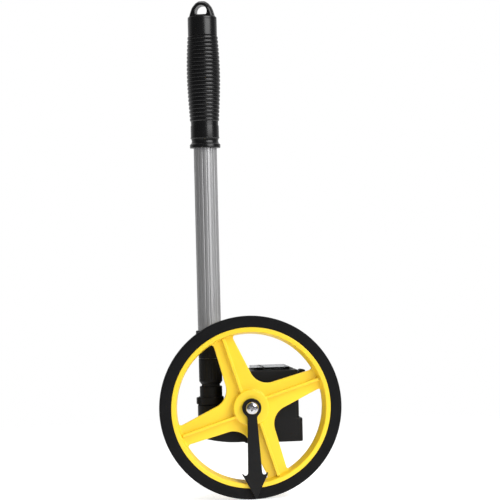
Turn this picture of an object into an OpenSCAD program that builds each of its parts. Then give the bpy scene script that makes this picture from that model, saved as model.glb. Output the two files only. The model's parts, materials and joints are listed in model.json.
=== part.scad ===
// Compact distance measuring wheel with a rear-of-wheel digit counter and a three-stage handle.
// Frame: origin on the axle axis in the wheel's mid-plane, +Y along the axle towards the counter,
// +Z up along the handle, +X in the direction of forward travel. Millimetres.

/* [Wheel] */
// Overall tyre diameter; one turn rolls half a metre of ground
tyre_d = 159.15; // [158.5:0.05:159.8]
// Width of the rim along the axle
wheel_width = 12; // [11.5:0.5:12.5]
// Width of the tyre, flush with the rim's front face
tyre_width = 10.4; // [10:0.2:11]
// Outer radius of the rim where the tyre starts
rim_r = 69.7; // [69.4:0.1:70]
// Inner radius of the rim's front edge
rim_front_r = 65.5; // [65.2:0.1:65.8]
// Inner radius of the rim at its narrowest point
rim_throat_r = 63.5; // [63.2:0.1:63.8]
// Direction of the first spoke, anticlockwise from forward as seen from the pointer side
spoke_angle = 17.6; // [10:0.1:25]
// Thickness of the spoke plate
plate_t = 3; // [2.5:0.5:3]
// Height of the stiffening rib on each spoke
rib_h = 4.2; // [3:0.1:5]
// Thickness of the stiffening rib on each spoke
rib_t = 2.4; // [2:0.1:3]
// Sideways offset of each rib from the line through the axle
rib_offset = 3.5; // [3:0.1:4]
// Radius of the raised hub boss
boss_r = 15.5; // [15:0.1:16]

/* [Pointer] */
// Distance from the axle to the pointer's tip
pointer_reach = 78.4; // [76:0.1:79]
// Thickness of the pointer
pointer_t = 2.9; // [2.5:0.1:3]
// Width across the two barbs
pointer_barbs = 22.4; // [20:0.1:25]
// Angle of the hanging pointer away from plumb at rest
pointer_lean = 1.6; // [0:0.1:4]

/* [Axle and counter] */
// Diameter of the axle
axle_d = 6; // [6]
// Radial clearance of every running fit
running_gap = 0.05; // [0.03:0.01:0.08]
// Tooth module of the drive train
gear_m = 0.8; // [0.8]
// Teeth on the gear fixed to the wheel hub
drive_teeth = 15; // [15]
// Teeth on the idler
idler_teeth = 20; // [20]
// Teeth on the gear that turns the first digit drum
input_teeth = 30; // [30]
// Distance from the axle to the drum shaft
drum_centre = 27; // [27]
// Height of the drum shaft above the axle
drum_z = 14; // [13.5:0.5:14]
// Diameter of a digit drum
drum_d = 24; // [23:0.5:24]
// Spacing of the digit drums along their shaft
drum_pitch = 6.4; // [6.4]
// Tooth module of the carry rings and pinions
carry_m = 1; // [1]
// Teeth on each drum's carry ring
ring_teeth = 20; // [20]
// Teeth on each carry pinion
pinion_teeth = 8; // [8]

/* [Housing] */
// Position of the housing's front face along the axle
case_front = 9; // [9]
// Depth of the whole housing
case_depth = 45; // [45]
// Depth of the rear cover
cover_depth = 11; // [11]
// Wall thickness of the housing
wall = 2; // [2]
// Height of the housing's flat top
case_top = 30.6; // [30.4:0.1:31]
// Depth of the housing's lowest face below the axle
case_bottom = 32.3; // [32:0.1:32.6]
// Forward face of the upper box
box_right = 44.8; // [44.6:0.1:45]
// Forward face of the wider lower body
base_right = 47.8; // [47.5:0.1:48]
// Height of the ledge between the upper box and the lower body
ledge_z = -12; // [-12.5:0.1:-11.5]
// Height of the top of the tail that carries the handle
tail_top = -15; // [-15.3:0.1:-14.8]

/* [Handle] */
// Distance of the handle axis behind the axle
handle_x = -30.9; // [-31.2:0.1:-30.5]
// Distance of the handle axis from the wheel's mid-plane
handle_y = 30; // [29.5:0.5:30.5]
// Outside diameter of the outer, fluted tube
outer_tube_d = 20.5; // [20.3:0.1:20.7]
// Outside diameter of the middle tube
middle_tube_d = 17.5; // [17.5]
// Outside diameter of the inner tube
inner_tube_d = 14.5; // [14.5]
// Wall thickness of all three tubes
tube_wall = 0.8; // [0.8]
// Number of flutes around the outer tube
flutes = 18; // [12:1:24]
// Outside radius of the two twist collars
collar_r = 10.2; // [10.1:0.1:10.4]
// Height of the socket's top edge
socket_top = 17.3; // [17:0.1:17.6]
// Height where the middle collar ends and the outer collar starts
collar_split = 42; // [41.5:0.1:42.5]
// Height of the outer collar's top edge
collar_top = 66.4; // [66:0.1:67]

/* [Grip] */
// Height of the grip's lower edge
grip_bottom = 227.5; // [226:0.1:229]
// Number of finger ribs
rib_count = 22; // [20:1:22]
// Spacing of the finger ribs
rib_pitch = 3.42; // [3.35:0.01:3.45]
// Radius of the hanging hole's arch
hang_hole_r = 5.2; // [5:0.1:5.4]
// Thickness of the hanging lug
lug_t = 12; // [11:0.5:13]
// Turn of the hanging lug about the handle axis
lug_turn = -17; // [-25:1:0]

/* [Hidden] */

yellow = [0.99, 0.84, 0.16];
tyre_black = [0.09, 0.09, 0.09];
plastic_black = [0.12, 0.12, 0.125];
inner_grey = [0.35, 0.35, 0.36];
steel = [0.72, 0.73, 0.75];
brass = [0.80, 0.66, 0.34];
drum_white = [0.93, 0.93, 0.91];
nylon = [0.88, 0.87, 0.82];
clear = [0.80, 0.86, 0.90, 0.35];

fine = 192;
medium = 96;
small = 48;

tyre_r = tyre_d / 2;
half_w = wheel_width / 2;
axle_r = axle_d / 2;
plate_front = 0.8;
plate_back = plate_front + plate_t;
window_r = rim_throat_r + 0.8;
bush_r = 5;
rivet_ring_r = 6.9;
rivet_r = 0.6;
seat_r = rim_r + 1.8;
seat_front = -2.5;
seat_back = 2;
neck_r = 8.5;
neck_back = case_front + wall + 0.2;
gear_front = neck_back;
gear_back = 14;

pointer_front = -half_w - 3.5;
pointer_back = pointer_front + pointer_t;
screw_face = -half_w - 8;

drum_x = sqrt(drum_centre * drum_centre - drum_z * drum_z);
drive_r = gear_m * drive_teeth / 2;
idler_r = gear_m * idler_teeth / 2;
input_r = gear_m * input_teeth / 2;
axle_to_idler = drive_r + idler_r;
idler_to_drum = idler_r + input_r;
drum_dir = atan2(drum_z, drum_x);
idler_bend = acos((axle_to_idler * axle_to_idler + drum_centre * drum_centre
  - idler_to_drum * idler_to_drum) / (2 * axle_to_idler * drum_centre));
idler_dir = drum_dir - idler_bend;
idler_x = axle_to_idler * cos(idler_dir);
idler_z = axle_to_idler * sin(idler_dir);
mesh_dir = atan2(drum_z - idler_z, drum_x - idler_x);
idler_pitch_deg = 360 / idler_teeth;
input_pitch_deg = 360 / input_teeth;
idler_phase = idler_dir + 180 + idler_pitch_deg / 2;
mesh_lag = mesh_dir - idler_phase - idler_pitch_deg * floor((mesh_dir - idler_phase) / idler_pitch_deg);
input_phase = mesh_dir + 180 + mesh_lag * idler_teeth / input_teeth + input_pitch_deg / 2;

ring_r = carry_m * ring_teeth / 2;
pinion_r = carry_m * pinion_teeth / 2;
carry_dir = -60;
carry_x = drum_x + (ring_r + pinion_r) * cos(carry_dir);
carry_z = drum_z + (ring_r + pinion_r) * sin(carry_dir);
pinion_phase = carry_dir + 180 + 180 / pinion_teeth;
drum_r = drum_d / 2;
drum_start = 16;
ring_w = 1.3;
digit_w = 3.6;
lock_w = 1;
pin_r = 1.5;
small_pin_r = 1.25;

case_back = case_front + case_depth;
cover_front = case_back - cover_depth;
plate_a = 14.4;
plate_b = 48.4;
frame_t = 1.2;
frame_pillars = [[-6.5, 12], [-6.5, -8.5], [33, -8.5]];
screwed_pillars = [0, 2];
frame_screw_r = 0.8;
cover_posts = [[-9.5, 25.6], [-9.5, -26.4], [41, -27.5], [-37.6, -21.3]];
post_r = 3.4;
window_x0 = 4.5;
window_x1 = 39;
window_y0 = 13;
window_y1 = 48;
lens_x = 6;
lens_w = 31.4;
lens_t = 1.4;
lens_rise = 2.9;
bar_x = 13.4;
bar_w = 2;
bar_sink = 0.6;
boss_ring_r = 12;
lever_x = 39.5;
lever_z = 21;
lever_front = 27.3;
lever_back = 36.7;

outer_r = outer_tube_d / 2;
middle_r = middle_tube_d / 2;
inner_r = inner_tube_d / 2;
outer_bore = outer_r - tube_wall;
middle_bore = middle_r - tube_wall;
inner_bore = inner_r - tube_wall;
socket_r = 9.9;
inner_foot = -16;
pin_z = -8;
inner_head = 330;
middle_foot = 30;
middle_head = 334;
outer_foot = 62.9;
outer_head = 338;
collar_floor = 1.9;
collar_foot = 19.3;
sleeve_foot = 237;
sleeve_head = 341;
ribs_foot = 251;
ribs_head = ribs_foot + rib_count * rib_pitch;

// ---------- shape helpers ----------

// A 2D shape drawn in (x, z) and given depth from y0 to y1
module xz(y0, y1) {
  translate([0, y1, 0]) rotate([90, 0, 0]) linear_extrude(y1 - y0) children();
}

// Turns a profile about the Y axis; the profile is (radius, y)
module about_y(n) {
  rotate([-90, 0, 0]) rotate_extrude($fn = n) children();
}

// A round bar along Y at (x, z)
module bar_y(x, z, r, y0, y1, n) {
  translate([x, y0, z]) rotate([-90, 0, 0]) cylinder(r = r, h = y1 - y0, $fn = n);
}

// A tube along Y at (x, z)
module tube_y(x, z, ro, ri, y0, y1, n) {
  difference() {
    bar_y(x, z, ro, y0, y1, n);
    bar_y(x, z, ri, y0 - 1, y1 + 1, n);
  }
}

// A tube along Z on the handle axis
module tube_z(ro, ri, z0, z1, n) {
  difference() {
    translate([0, 0, z0]) cylinder(r = ro, h = z1 - z0, $fn = n);
    translate([0, 0, z0 - 1]) cylinder(r = ri, h = z1 - z0 + 2, $fn = n);
  }
}

module on_handle() {
  translate([handle_x, handle_y, 0]) children();
}

// Points of an arc
function arc(cx, cy, r, a0, a1, n) =
  [for (i = [0:n]) [cx + r * cos(a0 + (a1 - a0) * i / n), cy + r * sin(a0 + (a1 - a0) * i / n)]];

function unit2(v) = v / norm(v);

// Points that round the corner b between a and c
function corner(a, b, c, r, n) =
  let (u = unit2(a - b), w = unit2(c - b), half = acos(u * w) / 2,
    m = b + unit2(u + w) * r / sin(half),
    s = b + u * r / tan(half) - m, e = b + w * r / tan(half) - m,
    sa = atan2(s[1], s[0]), turn = atan2(s[0] * e[1] - s[1] * e[0], s * e))
  arc(m[0], m[1], r, sa, sa + turn, n);

function involute(a) = tan(a) * 180 / PI - a;

// Half the angle a tooth spans at radius r; share is the tooth's part of the pitch
function half_tooth(teeth, rp, rb, r, share) =
  180 * share / teeth + involute(acos(rb / rp)) - (r > rb ? involute(acos(rb / r)) : 0);

// Outline of a spur gear with its first tooth centred on the angle phase
function gear_points(teeth, m, share, add, ded, phase) =
  let (rp = m * teeth / 2, rb = rp * cos(20), rt = rp + add * m, rr = rp - ded * m,
    lows = max(rr, rb), steps = [for (i = [0:3]) lows + (rt - lows) * i / 3])
  [for (k = [0:teeth - 1])
    let (c = phase + k * 360 / teeth)
    each concat(
      [[rr, c - half_tooth(teeth, rp, rb, lows, share)]],
      [for (r = steps) [r, c - half_tooth(teeth, rp, rb, r, share)]],
      [for (i = [3:-1:0]) [steps[i], c + half_tooth(teeth, rp, rb, steps[i], share)]],
      [[rr, c + half_tooth(teeth, rp, rb, lows, share)]])];

module gear_2d(teeth, m, share, add, ded, phase) {
  polar = gear_points(teeth, m, share, add, ded, phase);
  polygon([for (p = polar) [p[0] * cos(p[1]), p[0] * sin(p[1])]]);
}

// A rectangle with its four corners rounded
module round_rect(x0, x1, y0, y1, r) {
  translate([x0 + r, y0]) square([x1 - x0 - 2 * r, y1 - y0]);
  translate([x0, y0 + r]) square([x1 - x0, y1 - y0 - 2 * r]);
  for (x = [x0 + r, x1 - r]) {
    for (y = [y0 + r, y1 - r]) {
      translate([x, y]) circle(r = r, $fn = small);
    }
  }
}

// ---------- wheel ----------

module spokes() {
  for (k = [0:3]) {
    rotate(spoke_angle + 90 * k - 90) children();
  }
}

// One opening between two spokes, drawn with its left-hand spoke pointing up
module window_2d() {
  left_edge = 4.7;
  low_edge = 12.92;
  hub_corner = [12.08, 14.68];
  hub_fillet = 16;
  rim_fillet = 2.6;
  a_out = [left_edge, sqrt(window_r * window_r - left_edge * left_edge)];
  b_out = [sqrt(window_r * window_r - low_edge * low_edge), low_edge];
  a_deg = atan2(a_out[1], a_out[0]) - 6;
  b_deg = atan2(b_out[1], b_out[0]) + 6;
  near_a = window_r * [cos(a_deg), sin(a_deg)];
  near_b = window_r * [cos(b_deg), sin(b_deg)];
  polygon(concat(
    corner(b_out, hub_corner, a_out, hub_fillet, 24),
    corner(hub_corner, a_out, near_a, rim_fillet, 8),
    arc(0, 0, window_r, a_deg, b_deg, 30),
    corner(near_b, b_out, hub_corner, rim_fillet, 8)));
}

module wheel() {
  color(yellow) difference() {
    union() {
      about_y(256) polygon([
        [rim_front_r + 0.7, -half_w], [rim_r - 0.5, -half_w], [rim_r, -half_w + 0.4],
        [rim_r, seat_front], [seat_r, seat_front], [seat_r, seat_back], [rim_r, seat_back],
        [rim_r, half_w - 0.4], [rim_r - 0.5, half_w], [rim_throat_r + 1.2, half_w],
        [rim_throat_r, half_w - 1], [rim_front_r, -half_w + 0.8]]);
      xz(plate_front, plate_back) difference() {
        circle(r = rim_throat_r + 2, $fn = fine);
        spokes() window_2d();
      }
      xz(plate_front - rib_h, plate_back + 1.4) spokes()
        translate([-rib_offset - rib_t / 2, 9]) square([rib_t, rim_throat_r - 8.2]);
      about_y(fine) polygon([[bush_r, -half_w + 0.4], [boss_r - 1, -half_w + 0.4],
        [boss_r, -half_w + 1.4], [boss_r, plate_back + 0.5], [13.5, plate_back + 0.5],
        [13, half_w], [neck_r, half_w], [neck_r, neck_back], [bush_r, neck_back]]);
    }
    bar_y(0, 0, bush_r, -half_w - 1, neck_back + 1, medium);
    for (k = [0:2]) {
      rotate([0, 60 + 120 * k, 0]) bar_y(rivet_ring_r, 0, rivet_r, half_w, neck_back + 1, small);
    }
  }
}

module tyre() {
  front = -half_w + 0.15;
  back = front + tyre_width;
  edge = tyre_r - 0.1;
  color(tyre_black) about_y(256) polygon(concat(
    [[rim_r, seat_front], [rim_r, front + 0.4], [rim_r + 0.6, front]],
    arc(edge - 1.2, front + 1.2, 1.2, -90, 0, 8),
    [[tyre_r, front + 3], [tyre_r, back - 4]],
    arc(edge - 3, back - 3, 3, 0, 90, 8),
    [[rim_r + 0.6, back], [rim_r, back - 0.4], [rim_r, seat_back], [seat_r, seat_back],
      [seat_r, seat_front]]));
}

module hub_bushes() {
  bore = axle_r + running_gap;
  color(brass) for (y = [-half_w + 0.4, neck_back - 6]) {
    tube_y(0, 0, bush_r, bore, y, y + 6, medium);
  }
}

module drive_gear() {
  color(nylon) difference() {
    union() {
      xz(gear_front + 1, gear_back) gear_2d(drive_teeth, gear_m, 0.46, 0.95, 1.2, idler_dir);
      bar_y(0, 0, 8.3, gear_front, gear_front + 1, medium);
    }
    bar_y(0, 0, axle_r + 0.4, gear_front - 1, gear_back + 1, small);
    for (k = [0:2]) {
      rotate([0, 60 + 120 * k, 0]) bar_y(rivet_ring_r, 0, rivet_r, gear_front - 1, gear_front + 1, small);
    }
  }
}

// Three rivets that key the drive gear to the hub
module gear_rivets() {
  color(steel) for (k = [0:2]) {
    rotate([0, 60 + 120 * k, 0]) bar_y(rivet_ring_r, 0, rivet_r, half_w, gear_front + 1, small);
  }
}

// ---------- axle and pointer ----------

module axle() {
  color(steel) difference() {
    about_y(medium) polygon([[0, pointer_front - 0.1], [axle_r - 0.3, pointer_front - 0.1],
      [axle_r, pointer_front + 0.2], [axle_r, case_back + 5.6], [axle_r - 0.5, case_back + 6.1],
      [0, case_back + 6.1]]);
    bar_y(0, 0, 1.65, pointer_front - 1, 4, small);
  }
}

module axle_washer() {
  color(steel) tube_y(0, 0, 6.2, axle_r, case_back, case_back + 1, medium);
}

module axle_nut() {
  color(steel) intersection() {
    difference() {
      bar_y(0, 0, 5.77, case_back + 1, case_back + 5, 6);
      bar_y(0, 0, axle_r, case_back, case_back + 6, medium);
    }
    about_y(medium) polygon([[0, case_back + 1], [5.8, case_back + 1], [5.8, case_back + 4.3],
      [5.0, case_back + 5], [0, case_back + 5]]);
  }
}

module pointer_2d() {
  eye_r = 8.3;
  barb_z = -56.5;
  notch_z = -58;
  half_barb = pointer_barbs / 2;
  rotate(pointer_lean) difference() {
    union() {
      circle(r = eye_r, $fn = medium);
      polygon([[-4, -6], [-6.1, notch_z + 2.6], [-6.5, notch_z + 0.9], [-7.4, notch_z],
        [-8.9, notch_z - 0.1], [-half_barb + 0.35, barb_z + 0.25], [-half_barb, barb_z],
        [-half_barb - 0.05, barb_z - 0.6], [-0.8, -pointer_reach + 1], [0, -pointer_reach],
        [0.8, -pointer_reach + 1], [half_barb + 0.05, barb_z - 0.6], [half_barb, barb_z],
        [half_barb - 0.35, barb_z + 0.25], [8.9, notch_z - 0.1], [7.4, notch_z],
        [6.5, notch_z + 0.9], [6.1, notch_z + 2.6], [4, -6]]);
    }
    circle(r = axle_r + running_gap, $fn = medium);
  }
}

module pointer() {
  color(plastic_black) xz(pointer_front, pointer_back) pointer_2d();
}

module thrust_washer() {
  color(nylon) tube_y(0, 0, 5.6, axle_r, pointer_back + 0.1, -half_w + 0.3, medium);
}

module pointer_screw() {
  head_front = screw_face;
  head_back = pointer_front - 0.1;
  color(steel) difference() {
    union() {
      about_y(medium) polygon(concat(
        [[0, head_back], [5.6, head_back], [5.6, head_back - 1.1]],
        arc(3.2, head_back - 1.4, 2.4, 0, -62, 8),
        [[2.2, head_front + 0.3], [0, head_front + 0.1]]));
      bar_y(0, 0, 1.65, head_back - 0.2, 3.5, small);
    }
    for (a = [25, 115]) {
      rotate([0, a, 0]) translate([-2.7, head_front - 1, -0.55]) cube([5.4, 2.6, 1.1]);
    }
    bar_y(0, 0, 1.1, head_front - 1, head_front + 2.4, small);
  }
}

// ---------- housing ----------

module upper_box_2d(i) {
  round_rect(-14 + i, box_right - i, -28 + i, case_top - i, 1.6);
}

module lower_body_2d(i) {
  belly_r = 106;
  belly_x = -10;
  belly_z = -31.2;
  block_x = -4;
  tail_r = 6.3;
  tail_x = -38;
  tail_z = tail_top - tail_r;
  translate([block_x + i, -case_bottom + i])
    square([base_right - block_x - 2 * i, case_bottom + ledge_z - 2 * i]);
  intersection() {
    translate([tail_x, belly_z]) square([block_x + 4 - tail_x, tail_top - i - belly_z]);
    translate([belly_x, belly_z + belly_r]) circle(r = belly_r - i, $fn = 256);
  }
  translate([tail_x, tail_z]) circle(r = tail_r - i, $fn = medium);
}

// The housing's solid shape, pulled in by i on every side
module case_solid(i, y0, y1) {
  intersection() {
    xz(y0, y1) upper_box_2d(i);
    translate([0, 0, -60]) linear_extrude(120)
      round_rect(-14 + i, box_right - i, case_front + i, case_back - i, 4.5 - i);
  }
  intersection() {
    xz(y0, y1) lower_body_2d(i);
    translate([0, 0, -60]) linear_extrude(120)
      round_rect(-45 + i, base_right - i, case_front + i, case_back - i, 4.5 - i);
  }
}

module housing_shell() {
  color(plastic_black) difference() {
    union() {
      difference() {
        case_solid(0, case_front, cover_front);
        case_solid(wall, case_front, cover_front + 1);
      }
      intersection() {
        union() {
          for (p = cover_posts) {
            bar_y(p[0], p[1], post_r, case_front + 0.5, cover_front, small);
          }
          for (y = [lever_front - 1.7, lever_back + 0.2]) {
            translate([36.9, y, lever_z - 3]) cube([7, 1.5, 5.6]);
          }
          on_handle() translate([0, 0, -33]) cylinder(r = boss_ring_r, h = 15, $fn = medium);
          on_handle() translate([0, 0, ledge_z - 6]) cylinder(r = boss_ring_r, h = 5, $fn = medium);
        }
        case_solid(0, case_front, cover_front);
      }
      on_handle() translate([0, 0, ledge_z - 4])
        cylinder(r = boss_ring_r, h = 4.8 - ledge_z, $fn = medium);
    }
    bar_y(0, 0, neck_r + 0.7, case_front - 1, case_front + wall + 1, medium);
    for (p = cover_posts) {
      bar_y(p[0], p[1], 1, cover_front - 12, cover_front + 1, small);
    }
    on_handle() translate([0, 0, inner_foot - 2]) cylinder(r = socket_r, h = 40, $fn = medium);
    bar_y(lever_x, lever_z, small_pin_r, 20, 40, small);
    translate([40.1, lever_front - 0.1, lever_z + 0.1])
      cube([8, lever_back - lever_front + 0.2, 12]);
    translate([window_x0, window_y0, case_top - wall - 1])
      cube([window_x1 - window_x0, case_depth, wall + 2]);
  }
}

module housing_cover() {
  color(plastic_black) difference() {
    union() {
      difference() {
        case_solid(0, cover_front, case_back);
        difference() {
          case_solid(wall, cover_front - 1, case_back);
          bar_y(0, 0, 7.5, cover_front, case_back, medium);
          for (p = cover_posts) {
            bar_y(p[0], p[1], post_r, cover_front, case_back, small);
          }
        }
      }
      for (x = [-2, 24]) {
        translate([x, case_back - 0.5, -24]) cube([2, 1.3, 14]);
      }
    }
    bar_y(0, 0, axle_r, cover_front - 1, case_back + 1, medium);
    for (p = cover_posts) {
      bar_y(p[0], p[1], 1.25, cover_front - 1, case_back + 1, small);
      bar_y(p[0], p[1], 2.4, case_back - 1.8, case_back + 1, small);
    }
    translate([window_x0, cover_front - 1, case_top - wall - 1])
      cube([window_x1 - window_x0, window_y1 - cover_front + 1, wall + 2]);
  }
}

module cover_screws() {
  color(steel) for (p = cover_posts) {
    difference() {
      union() {
        bar_y(p[0], p[1], 2.3, case_back - 1.8, case_back - 0.4, small);
        bar_y(p[0], p[1], 1, cover_front - 9, case_back - 1.7, small);
      }
      for (a = [20, 110]) {
        translate([p[0], case_back, p[1]]) rotate([0, a, 0])
          translate([-1.3, -1.1, -0.25]) cube([2.6, 2, 0.5]);
      }
    }
  }
}

module lens_block() {
  depth = window_y1 - window_y0 - 3;
  difference() {
    translate([lens_x, window_y0 + 1.5, case_top - lens_t])
      cube([lens_w, depth, lens_t + lens_rise]);
    translate([bar_x, window_y0, case_top - bar_sink])
      cube([bar_w, depth + 3, bar_sink + lens_rise + 1]);
  }
}

// Clear cover over the digits
module window_lens() {
  color(clear) lens_block();
}

module window_frame() {
  lip = 0.3;
  color(plastic_black) difference() {
    union() {
      translate([window_x0, window_y0, case_top - wall])
        cube([window_x1 - window_x0, window_y1 - window_y0, wall + lip]);
      translate([bar_x, window_y0 + 0.5, case_top - bar_sink])
        cube([bar_w, window_y1 - window_y0 - 1, bar_sink + lens_rise]);
    }
    lens_block();
    translate([drum_x - 5, drum_start + 0.6, case_top - wall - 1])
      cube([10, 5 * drum_pitch - 2.2, wall + 2]);
  }
}

// ---------- counter ----------

module counter_frame() {
  color(inner_grey) difference() {
    union() {
      for (y = [plate_a, plate_b]) {
        xz(y, y + frame_t) difference() {
          round_rect(-9, 35.6, -11, case_top - wall - 0.4, 2);
          circle(r = 7.8, $fn = small);
          translate(cover_posts[0]) circle(r = post_r + 0.3, $fn = small);
        }
      }
      for (p = frame_pillars) {
        bar_y(p[0], p[1], 2, plate_a + frame_t / 2, plate_b + frame_t / 2, small);
      }
    }
    bar_y(drum_x, drum_z, 3.9, plate_a - 1, plate_a + frame_t + 1, small);
    bar_y(drum_x, drum_z, pin_r, plate_b - 1, plate_b + frame_t + 1, small);
    bar_y(idler_x, idler_z, pin_r, plate_a - 1, plate_a + frame_t + 1, small);
    bar_y(carry_x, carry_z, small_pin_r, plate_a - 1, plate_b + frame_t + 1, small);
    for (k = screwed_pillars) {
      bar_y(frame_pillars[k][0], frame_pillars[k][1], frame_screw_r, plate_b - 6,
        plate_b + frame_t + 1, small);
    }
  }
}

// Screws through the counter frame's rear plate into two of its pillars
module frame_screws() {
  color(steel) for (k = screwed_pillars) {
    p = frame_pillars[k];
    bar_y(p[0], p[1], frame_screw_r, plate_b - 5, plate_b + frame_t, small);
    bar_y(p[0], p[1], 1.7, plate_b + frame_t, plate_b + frame_t + 1.2, small);
  }
}

module drum_shaft() {
  color(steel) {
    bar_y(drum_x, drum_z, pin_r, case_front + wall, plate_b + frame_t + 1, small);
    bar_y(drum_x, drum_z, 2.4, plate_b + frame_t, plate_b + frame_t + 1, small);
  }
}

module idler_pin() {
  color(steel) {
    bar_y(idler_x, idler_z, pin_r, gear_front + 0.3, plate_a + frame_t, small);
    bar_y(idler_x, idler_z, 2.4, case_front + wall + 0.1, gear_front + 0.6, small);
  }
}

module idler_gear() {
  color(nylon) translate([idler_x, 0, idler_z]) difference() {
    xz(gear_front + 1.2, gear_back) gear_2d(idler_teeth, gear_m, 0.46, 0.95, 1.2, idler_phase);
    bar_y(0, 0, pin_r + running_gap, gear_front - 1, gear_back + 1, small);
  }
}

module input_gear() {
  color(nylon) translate([drum_x, 0, drum_z]) difference() {
    union() {
      xz(gear_front + 1, gear_back) gear_2d(input_teeth, gear_m, 0.46, 0.95, 1.2, input_phase);
      bar_y(0, 0, 3.5, gear_back - 1, drum_start, small);
    }
    bar_y(0, 0, pin_r + running_gap, gear_front - 1, drum_start + 1, small);
  }
}

// A digit drum: carry ring in front, digit rim, locking disc behind
module digit_drum(place) {
  y0 = drum_start + place * drum_pitch;
  y1 = y0 + ring_w;
  y2 = y1 + digit_w;
  color(drum_white) translate([drum_x, 0, drum_z]) difference() {
    union() {
      xz(y0, y1) gear_2d(ring_teeth, carry_m, 0.4, 0.8, 1.1, carry_dir);
      about_y(medium) polygon([[1, y1], [drum_r - 0.2, y1], [drum_r, y1 + 0.2],
        [drum_r, y2 - 0.2], [drum_r - 0.2, y2], [8.8, y2], [8.8, y2 + lock_w], [1, y2 + lock_w]]);
    }
    bar_y(0, 0, pin_r + running_gap, y0 - 1, y2 + lock_w + 1, small);
    for (k = [0:9]) {
      rotate([0, 36 * k, 0]) bar_y(6, 0, 1.1, y0 - 1, y2 + lock_w + 1, small);
    }
  }
}

module drum_units() digit_drum(0);
module drum_tens() digit_drum(1);
module drum_hundreds() digit_drum(2);
module drum_thousands() digit_drum(3);
module drum_ten_thousands() digit_drum(4);

module carry_shaft() {
  color(steel) bar_y(carry_x, carry_z, small_pin_r, plate_a - 0.2, plate_b + frame_t + 0.4, small);
}

// A pinion that joins one drum to the next
module carry_pinion(place) {
  y0 = drum_start + place * drum_pitch + ring_w + digit_w + 0.15;
  y1 = drum_start + (place + 1) * drum_pitch + ring_w - 0.15;
  color(nylon) translate([carry_x, 0, carry_z]) difference() {
    xz(y0, y1) gear_2d(pinion_teeth, carry_m, 0.4, 0.8, 1.1, pinion_phase);
    bar_y(0, 0, small_pin_r + running_gap, y0 - 1, y1 + 1, small);
  }
}

module carry_pinion_a() carry_pinion(0);
module carry_pinion_b() carry_pinion(1);
module carry_pinion_c() carry_pinion(2);
module carry_pinion_d() carry_pinion(3);

module reset_pin() {
  color(steel) bar_y(lever_x, lever_z, small_pin_r, lever_front - 1.7, lever_back + 1.7, small);
}

module reset_lever() {
  color(plastic_black) difference() {
    union() {
      bar_y(lever_x, lever_z, 2.6, lever_front, lever_back, small);
      xz(lever_front, lever_back) translate([lever_x, lever_z]) polygon(concat(
        [[0.6, 0], [2.1, 0.7], [3.6, 3.0], [7.2, 3.0], [10.2, 4.3], [12.6, 6.0]],
        arc(12.9, 7.2, 1.1, -70, 90, 8),
        [[10.4, 8.7], [9.0, 8.3], [7.9, 6.9], [6.9, 5.7], [3.4, 5.4], [1.4, 5.4], [0.8, 4.6],
          [-2.4, 0.9]]));
      xz(lever_front + 2, lever_back - 2) translate([lever_x, lever_z])
        polygon([[-1, 2.2], [-4.3, 2.5], [-3.6, 1.1], [-1, -1.6]]);
    }
    bar_y(lever_x, lever_z, small_pin_r + running_gap, 20, 40, small);
  }
}

// Flat spring anchored on the housing wall, resting under the lever's boss
module reset_spring() {
  color(steel) xz(lever_front + 2.5, lever_back - 2.5) translate([box_right - wall, lever_z])
    polygon([[0, -14], [0, -6.6], [-2.9, -2.8], [-4.4, -2.45], [-4.4, -2.85], [-3.1, -3.2],
      [-0.4, -6.9], [-0.4, -14]]);
}

// ---------- handle ----------

module handle_socket() {
  color(plastic_black) on_handle() difference() {
    union() {
      translate([0, 0, inner_foot - 2])
        cylinder(r = socket_r, h = socket_top - inner_foot + 1.4, $fn = medium);
      translate([0, 0, socket_top - 0.6])
        cylinder(r1 = socket_r, r2 = socket_r - 0.6, h = 0.6, $fn = medium);
    }
    translate([0, 0, inner_foot]) cylinder(r = inner_r, h = 60, $fn = medium);
    translate([-20, 0, pin_z]) rotate([0, 90, 0]) cylinder(r = pin_r, h = 40, $fn = small);
  }
}

// Ring that caps the housing's boss around the socket
module socket_ring() {
  foot = 0.8;
  head = 8.2;
  color(plastic_black) on_handle() difference() {
    union() {
      translate([0, 0, foot]) cylinder(r = 11.2, h = head - foot, $fn = medium);
      hull() {
        translate([-9, -4.5, foot]) cube([1, 9, head - foot]);
        translate([-12.8, -3, foot + 1]) cube([1, 6, head - foot - 2.2]);
      }
    }
    translate([0, 0, foot - 1]) cylinder(r = socket_r, h = head - foot + 2, $fn = medium);
  }
}

// Pin through the foot of the inner tube
module socket_pin() {
  half = socket_r - 0.2;
  color(steel) on_handle() translate([-half, 0, pin_z]) rotate([0, 90, 0])
    cylinder(r = pin_r, h = 2 * half, $fn = small);
}

// Soft ring that the lower collar lands on
module buffer_ring() {
  color(tyre_black) on_handle() tube_z(8.1, inner_r, socket_top, collar_foot - 0.1, medium);
}

module inner_tube() {
  color(steel) on_handle() difference() {
    tube_z(inner_r, inner_bore, inner_foot, inner_head, medium);
    translate([-20, 0, pin_z]) rotate([0, 90, 0]) cylinder(r = pin_r, h = 40, $fn = small);
  }
}

// Plastic plug that guides the inner tube's head in the middle tube
module inner_tube_guide() {
  guide_r = middle_bore - running_gap;
  color(nylon) on_handle() rotate_extrude($fn = medium) polygon([[inner_r, 322],
    [guide_r - 0.3, 322], [guide_r, 322.4], [guide_r, 331.6], [guide_r - 0.4, 332],
    [3, 332], [3, inner_head], [inner_r, inner_head]]);
}

module middle_tube() {
  color(steel) on_handle() tube_z(middle_r, middle_bore, middle_foot, middle_head, medium);
}

module middle_tube_guide() {
  guide_r = outer_bore - running_gap;
  color(nylon) on_handle() rotate_extrude($fn = medium) polygon([[middle_r, 326],
    [guide_r - 0.3, 326], [guide_r, 326.4], [guide_r, 335.6], [guide_r - 0.4, 336],
    [middle_bore - 0.9, 336], [middle_bore - 0.9, middle_head], [middle_r, middle_head]]);
}

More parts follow.
